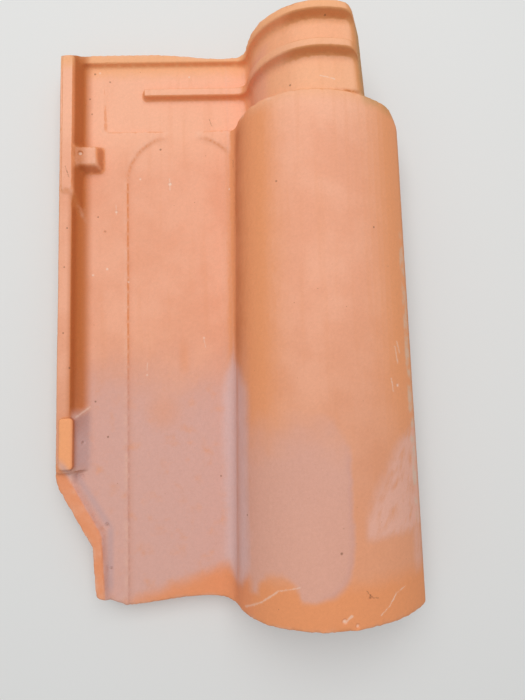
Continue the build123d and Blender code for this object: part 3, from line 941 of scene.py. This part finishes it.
def right_bloom(g):
    """Mask of the bloom beyond a bent line on the barrel's right side, streaked on a slant."""
    low_slope, low_x = RIGHT_LOW_LINE
    high_slope, high_x = RIGHT_HIGH_LINE
    line = g.both(g.add(g.times(g.y, low_slope), low_x), g.add(g.times(g.y, high_slope), high_x))
    beyond = g.rise(g.less(g.frayed(g.x, 0.5), line), *RIGHT_BLOOM_RIM)
    bloom = g.times(beyond, g.rise(g.frayed(g.y, 0.4), *RIGHT_BLOOM_Y), g.rise(g.x, *RIGHT_BLOOM_X))
    edge = g.times(g.rise(g.frayed(g.x, 0.2), *RIGHT_EDGE_X), g.band(g.y, *RIGHT_EDGE_Y))
    slant = g.noise(g.scale(g.turned(g.place, SLANT_TURN), SLANT_SQUEEZE), SLANT_SIZE)
    return g.times(g.both(bloom, g.times(edge, 0.7)), g.rise(slant, 0.15, 0.55))


def warm_patches(g):
    """Mask of the warm strip and spot where the pan's bloom is thin."""
    strip = g.times(g.band(g.x, *WARM_STRIP_X), g.band(g.frayed(g.y, 0.6), *WARM_STRIP_Y))
    spot = g.rise(g.distance(g.place, WARM_SPOT), *WARM_SPOT_RIM)
    return g.both(strip, g.times(spot, 0.6))


def bloomed_skin(g, on_barrel, on_right):
    """The pressed skin under its bloom and stain, and the mask of all bloom."""
    warm = warm_patches(g)
    bloom = g.both(pan_bloom(g), g.times(g.both(on_barrel, on_right), 0.66))
    bloom = g.times(bloom, g.without(g.times(warm, 0.7)), g.add(0.72, g.times(g.powder, 0.5)))
    skin = g.tint(pressed_skin_and_slope_shade(g), warm, WARM_SKIN, strength=0.35)
    skin = g.tint(skin, g.times(g.on_barrel, g.rise(g.y, *TAIL_SKIN_Y)), TAIL_SKIN, strength=0.35)
    pink = g.mix(g.both(on_right, g.rise(g.x, *LEFT_BLOOM_X)), BLOOM_PINK, BLOOM_PALE)
    skin = g.mix(bloom, skin, pink)
    stain = g.times(g.band(g.oval, *STAIN_RIM), g.on_barrel, g.rise(g.y, *STAIN_Y), g.rise(g.x, *STAIN_X))
    return g.tint(skin, stain, STAIN_PURPLE, strength=0.30), bloom


def with_raw_clay_and_shade(g, colour):
    """Darker orange on steep faces, partly clay bare of bloom and partly painted shade, less of it at the
    head, and painted brown shade in inner corners.
    """
    raw_and_shade = g.mix(g.rise(g.cloud, 0.4, 0.6), RAW_AND_SHADE_DEEP, RAW_AND_SHADE_LIGHT)
    calm = g.both(g.times(g.at_head, 0.62), g.times(g.at_head, g.rise(g.x, *CALM_X), 0.95))
    steep = g.times(g.rise(g.up, *STEEP_UP), g.without(calm))
    colour = g.tint(colour, steep, raw_and_shade, strength=0.85)
    # Painted shade: browner in inner corners and creases
    corner = g.times(g.rise(g.attribute("corner"), 0.0, 0.6), g.without(g.times(g.at_head, 0.6)))
    return g.tint(colour, corner, CORNER_SHADE_BROWN, strength=0.24)


def with_head_tones(g, colour):
    """The neck's pink left side, the yellow head edge and ribs, and the brown lip of the neck on its steep
    right faces, partly painted shade.
    """
    neck_side = g.times(g.at_head, g.rise(g.x, *NECK_RIGHT_X), g.rise(g.x, *NECK_LEFT_X))
    colour = g.tint(colour, neck_side, NECK_PINK, strength=0.6)
    on_neck = g.times(g.at_head, g.rise(g.z, *YELLOW_Z), 0.6)
    yellow = g.both(g.rise(g.frayed(g.y, 0.4), *YELLOW_Y), on_neck)
    colour = g.tint(colour, yellow, HEAD_YELLOW, strength=0.75)
    lip = g.times(g.at_head, g.rise(g.x, *LIP_X), g.rise(g.up, *LIP_UP))
    return g.tint(colour, lip, LIP_BROWN_AND_SHADE, strength=0.6)


def with_root_shade(g, colour):
    """Painted shade: dark brown in the concave foot of the lock rib above the gusset."""
    across = g.times(g.rise(g.x, *ROOT_RIGHT_X), g.rise(g.x, *ROOT_LEFT_X))
    root = g.times(across, g.rise(g.y, *ROOT_Y), g.rise(g.z, *ROOT_Z))
    return g.tint(colour, root, ROOT_SHADE_BROWN, strength=0.9)


def foot_band(g):
    """Mask of the band along the barrel's foot, narrower towards both ends."""
    width = g.times(g.rise(g.y, *FOOT_HEAD_Y), g.rise(g.y, *FOOT_TAIL_Y), FOOT_HALF_WIDTH)
    off_middle = g.math("ABSOLUTE", g.add(g.frayed(g.x, 0.25), -FOOT_X))
    return g.times(g.rise(g.less(off_middle, width), *FOOT_RIM), g.rise(g.up, 0.1, 0.4))


def with_bare_clay(g, colour, on_barrel, foot):
    """Orange clay without bloom on the tail band, the flange at the cut corner and the stop."""
    tail = g.times(g.rise(g.tail_line, *TAIL_BAND), g.without(g.both(on_barrel, g.times(foot, 0.9))))
    tail = g.times(tail, g.rise(g.x, *TAIL_BAND_X))
    flange = g.times(g.rise(g.flange_line, *FLANGE_RIM), g.rise(g.y, *FLANGE_Y))
    tail_flange = g.times(g.rise(g.x, *TAIL_FLANGE_X), g.rise(g.y, *TAIL_FLANGE_Y))
    flanges = g.times(g.both(flange, tail_flange), g.rise(g.z, *FLANGE_Z))
    stop = g.times(g.rise(g.z, *STOP_Z), g.rise(g.y, *STOP_Y), g.rise(g.x, *STOP_X))
    bare = g.both(g.both(tail, stop), flanges)
    colour = g.tint(colour, bare, g.mix(g.on_pan, BARE_BARREL, BARE_PAN), strength=0.92)
    return g.tint(colour, stop, STOP_ORANGE, strength=0.7)


def with_greys(g, colour):
    """Grey clay on the gusset and beside the flange."""
    gusset = g.times(g.band(g.x, *GUSSET_X), g.band(g.y, *GUSSET_Y), g.rise(g.z, *GUSSET_Z))
    beside = g.times(g.band(g.flange_line, *BESIDE_FLANGE), g.band(g.y, *BESIDE_FLANGE_Y))
    beside = g.both(beside, g.times(g.band(g.x, *BESIDE_TAIL_X), g.band(g.y, *BESIDE_TAIL_Y)))
    return g.tint(colour, g.both(gusset, beside), GUSSET_GREY, strength=0.6)


def with_weather(g, colour):
    """Pale worn arrises, moss on the left edge and the neck's right side, and algae along the rim."""
    arris = g.rise(g.attribute("arris"), 0.08, 0.45)
    worn = g.times(arris, g.rise(g.patch, 0.35, 0.7), g.rise(g.up, 0.0, 0.5))
    colour = g.tint(colour, worn, WORN_PALE, strength=0.45)
    moss = g.times(g.rise(g.x, *MOSS_X), g.rise(g.z, *MOSS_Z), g.rise(g.patch, 0.3, 0.6))
    neck_moss = g.times(g.at_head, g.rise(g.x, *NECK_MOSS_X), g.rise(g.patch, 0.3, 0.55))
    colour = g.tint(colour, g.both(moss, neck_moss), MOSS_GREEN, strength=0.45)
    off_line = g.math("ABSOLUTE", g.add(g.frayed(g.x, 0.25), -ALGAE_X))
    algae = g.times(g.rise(off_line, *ALGAE_RIM), g.band(g.y, *ALGAE_Y), g.rise(g.patch, 0.38, 0.6))
    return g.tint(colour, algae, ALGAE_GREY, strength=0.5)


def with_marks(g, colour, places):
    """Pale marks and scratches, dark specks and hairs, and sand grains strewn at random."""
    spots = g.spots(g.place, g.fine, PALE_FRAY, placed_spots(PALE_MARKS, places))
    scratches = g.lines(g.place, g.fine, placed_lines(SCRATCHES, places))
    pale = g.both(g.times(spots, PALE_SPOT_STRENGTH), g.times(scratches, SCRATCH_STRENGTH))
    colour = g.mix(pale, colour, MARK_PALE)
    specks = g.spots(g.place, g.powder, DARK_FRAY, placed_spots(DARK_SPECKS, places))
    hairs = g.lines(g.place, g.powder, placed_lines(HAIRS, places))
    colour = g.mix(g.both(g.times(specks, DARK_SPOT_STRENGTH), hairs), colour, MARK_DARK)
    sand = g.nodes.new("ShaderNodeTexVoronoi")
    g.put(sand.inputs["Vector"], g.place)
    g.put(sand.inputs["Scale"], 1.0 / SAND_SPACING)
    pick = g.parts(sand.outputs["Color"])[0]
    grains = g.times(g.rise(sand.outputs["Distance"], *SAND_REACH), g.rise(pick, *SAND_PICK))
    return g.tint(colour, grains, SAND_DARK, strength=0.55)


def finish_clay(g, colour, bloom):
    """The shader's colour with a fine tone, its roughness and its small bumps."""
    tone = g.add(g.add(g.times(g.fine, TONE_RANGE), g.times(g.powder, TONE_RANGE)), BASE_TONE)
    g.put(g.shader.inputs["Base Color"], g.vector("SCALE", colour, tone))
    rough = g.add(BASE_ROUGHNESS, g.times(g.fine, ROUGHNESS_RANGE))
    rough = g.add(rough, g.times(bloom, BLOOM_ROUGHNESS))
    g.put(g.shader.inputs["Roughness"], g.math("MINIMUM", rough, 1.0))
    g.put(g.shader.inputs["Specular IOR Level"], SPECULAR_LEVEL)
    bump = g.nodes.new("ShaderNodeBump")
    bump.inputs["Strength"].default_value = BUMP_STRENGTH
    bump.inputs["Distance"].default_value = BUMP_DISTANCE
    g.put(bump.inputs["Height"], g.add(g.times(g.powder, BUMP_SHARE), g.times(g.fine, BUMP_SHARE)))
    g.put(g.shader.inputs["Normal"], bump.outputs["Normal"])


def clay_material(places):
    """Fired clay: pale pressed skin, orange on slopes and steep faces that is partly painted shade, painted
    shade in inner corners and at the lock rib's foot, bloom, stains, specks, wear and grain.
    """
    g = ClayGraph("fired_clay")
    on_barrel = barrel_bloom(g)
    foot = foot_band(g)
    colour, bloom = bloomed_skin(g, on_barrel, right_bloom(g))
    colour = with_raw_clay_and_shade(g, colour)
    colour = with_head_tones(g, colour)
    colour = with_root_shade(g, colour)
    streaked_foot = g.times(foot, g.add(0.75, g.times(g.streak, 0.45)))
    colour = g.tint(colour, streaked_foot, FOOT_LILAC, strength=0.80)
    colour = with_bare_clay(g, colour, on_barrel, foot)
    colour = with_greys(g, colour)
    colour = with_weather(g, colour)
    colour = with_marks(g, colour, places)
    finish_clay(g, colour, bloom)
    return g.material


def floor_material():
    """A plain pale floor with a trace of unevenness."""
    g = Graph("studio_floor")
    place = g.nodes.new("ShaderNodeTexCoord").outputs["Object"]
    tint = g.noise(place, FLOOR_PATCH, detail=2.0)
    lighter = tuple(min(1.0, FLOOR_TRACE * part) for part in FLOOR_COLOUR)
    g.put(g.shader.inputs["Base Color"], g.mix(tint, FLOOR_COLOUR, lighter))
    g.put(g.shader.inputs["Roughness"], 0.9)
    g.put(g.shader.inputs["Specular IOR Level"], 0.1)
    return g.material


def make_floor():
    """The floor under the tile."""
    half = FLOOR_SIZE / 2
    mesh = bpy.data.meshes.new("floor")
    rim = [(-half, -half, 0), (half, -half, 0), (half, half, 0), (-half, half, 0)]
    mesh.from_pydata(rim, [], [(0, 1, 2, 3)])
    floor = bpy.data.objects.new("floor", mesh)
    floor.data.materials.append(floor_material())
    bpy.context.scene.collection.objects.link(floor)


def make_light():
    """A soft lamp above the head of the tile and a pale sky all round."""
    data = bpy.data.lights.new("soft_lamp", "AREA")
    data.size = LAMP_SIZE
    data.energy = LAMP_POWER
    lamp = bpy.data.objects.new("soft_lamp", data)
    lamp.location = LAMP_PLACE
    lamp.rotation_euler = (-Vector(LAMP_PLACE)).to_track_quat("-Z", "Y").to_euler()
    bpy.context.scene.collection.objects.link(lamp)
    world = bpy.data.worlds.new("sky")
    world.use_nodes = True
    background = world.node_tree.nodes["Background"]
    background.inputs["Color"].default_value = (*SKY_COLOUR, 1.0)
    background.inputs["Strength"].default_value = SKY_LEVEL
    bpy.context.scene.world = world


def make_camera():
    """The camera at the photograph's viewing place."""
    data = bpy.data.cameras.new("camera")
    data.lens = CAMERA_LENS
    data.clip_start = 0.01
    camera = bpy.data.objects.new("camera", data)
    camera.location = CAMERA_PLACE
    camera.rotation_euler = CAMERA_TURN
    bpy.context.scene.collection.objects.link(camera)
    bpy.context.scene.camera = camera


def main():
    """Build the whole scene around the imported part."""
    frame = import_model()
    cad_points, cad_corners = welded(frame["nodes"]["roof_tile"])
    places = seen_places(cad_points, cad_corners)
    tile = make_tile(cad_points, cad_corners, placed_spots(CHIPS, places))
    tile.data.materials.append(clay_material(places))
    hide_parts("roof_tile")
    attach(tile, "root")
    make_floor()
    make_light()
    make_camera()
    bpy.context.scene.view_settings.view_transform = "Standard"
    bpy.context.view_layer.update()


main()
